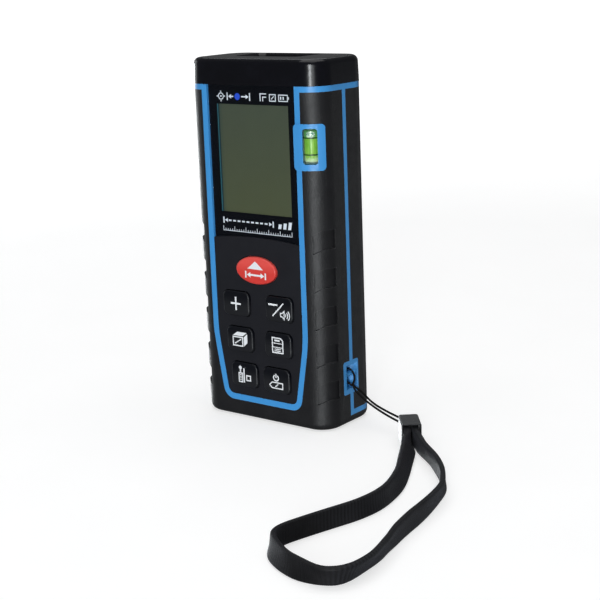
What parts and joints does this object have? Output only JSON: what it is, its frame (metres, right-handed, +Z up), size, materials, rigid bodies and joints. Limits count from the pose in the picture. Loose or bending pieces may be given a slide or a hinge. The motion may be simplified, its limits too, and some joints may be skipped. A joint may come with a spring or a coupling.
{
  "type": "laser distance meter",
  "caption": "Hand-held laser distance meter: rubber-jacketed rectangular body with display window, keypad, corner level, battery cover and wrist strap.",
  "frame": {"origin": "middle of the base the meter stands on", "axes": "+Z up to the optics end, display faces -Y, +X to the right of a reader of the display"},
  "size_m": [0.1225, 0.1189, 0.118],
  "materials": {
    "blue_abs": "satin",
    "jacket_rubber": "matte",
    "gloss_black": "gloss",
    "black_plastic": "fine texture",
    "panel_black": "satin",
    "window_clear": "clear",
    "mask_black": "printed",
    "optic_glass": "coated",
    "vial_clear": "clear",
    "vial_green": "liquid",
    "ring_black": "printed",
    "white_plastic": "satin",
    "steel_sheet": "nickel plated",
    "board_green": "solder mask",
    "chip_black": "moulded",
    "screw_steel": "zinc plated",
    "lcd_grey": "polarizer",
    "light_guide": "frosted",
    "connector_rubber": "layered",
    "bench_grey": "glass filled",
    "lens_glass": "polished",
    "barrel_brass": "turned",
    "diode_steel": "gold flash",
    "cell_wrap": "wrapped",
    "cord_black": "braided",
    "webbing_black": "ribbed weave",
    "ferrule_black": "satin",
    "key_red": "satin",
    "key_black": "satin"
  },
  "bodies": {
    "root": {"battery_contacts": "steel_sheet", "battery_left": "cell_wrap", "battery_right": "cell_wrap", "battery_springs": "steel_sheet", "board_chips": "chip_black", "board_screws": "screw_steel", "buzzer": "chip_black", "display_window": "window_clear", "front_jacket": "jacket_rubber", "front_shell": "blue_abs", "housing_screws": "screw_steel", "key_domes": "steel_sheet", "keypad_panel": "panel_black", "laser_barrel": "barrel_brass", "laser_diode": "diode_steel", "laser_lens": "lens_glass", "lcd_connector": "connector_rubber", "lcd_frame": "white_plastic", "lcd_glass": "lcd_grey", "lcd_light_guide": "light_guide", "level_vial": "vial_clear", "main_board": "board_green", "optic_window": "optic_glass", "optical_bench": "bench_grey", "rear_jacket": "jacket_rubber", "rear_shell": "blue_abs", "receiver_board": "board_green", "receiver_diode": "diode_steel", "receiver_lens": "lens_glass", "strap_cord": "cord_black", "strap_ferrule": "ferrule_black", "strap_webbing": "webbing_black", "top_cap": "gloss_black", "vial_bezel": "blue_abs", "vial_liquid": "vial_green", "vial_reflector": "white_plastic", "vial_rings": "ring_black", "window_mask": "mask_black"},
    "key_measure": {"key_measure": "key_red"},
    "key_plus": {"key_plus": "key_black"},
    "key_minus": {"key_minus": "key_black"},
    "key_volume": {"key_volume": "key_black"},
    "key_memory": {"key_memory": "key_black"},
    "key_unit": {"key_unit": "key_black"},
    "key_clear": {"key_clear": "key_black"},
    "battery_cover": {"battery_cover": "black_plastic"}
  },
  "joints": [
    {"name": "key_measure_press", "type": "slide", "parent": "root", "child": "key_measure", "axis": [0, 1, 0], "range_m": [0, 0.0005], "stiffness_N_per_m": 600},
    {"name": "key_plus_press", "type": "slide", "parent": "root", "child": "key_plus", "axis": [0, 1, 0], "range_m": [0, 0.0005], "stiffness_N_per_m": 600},
    {"name": "key_minus_press", "type": "slide", "parent": "root", "child": "key_minus", "axis": [0, 1, 0], "range_m": [0, 0.0005], "stiffness_N_per_m": 600},
    {"name": "key_volume_press", "type": "slide", "parent": "root", "child": "key_volume", "axis": [0, 1, 0], "range_m": [0, 0.0005], "stiffness_N_per_m": 600},
    {"name": "key_memory_press", "type": "slide", "parent": "root", "child": "key_memory", "axis": [0, 1, 0], "range_m": [0, 0.0005], "stiffness_N_per_m": 600},
    {"name": "key_unit_press", "type": "slide", "parent": "root", "child": "key_unit", "axis": [0, 1, 0], "range_m": [0, 0.0005], "stiffness_N_per_m": 600},
    {"name": "key_clear_press", "type": "slide", "parent": "root", "child": "key_clear", "axis": [0, 1, 0], "range_m": [0, 0.0005], "stiffness_N_per_m": 600},
    {"name": "battery_cover_swing", "type": "hinge", "parent": "root", "child": "battery_cover", "pos_m": [0, 0.0135, 0.0085], "axis": [-1, 0, 0], "range_deg": [0, 75]}
  ]
}
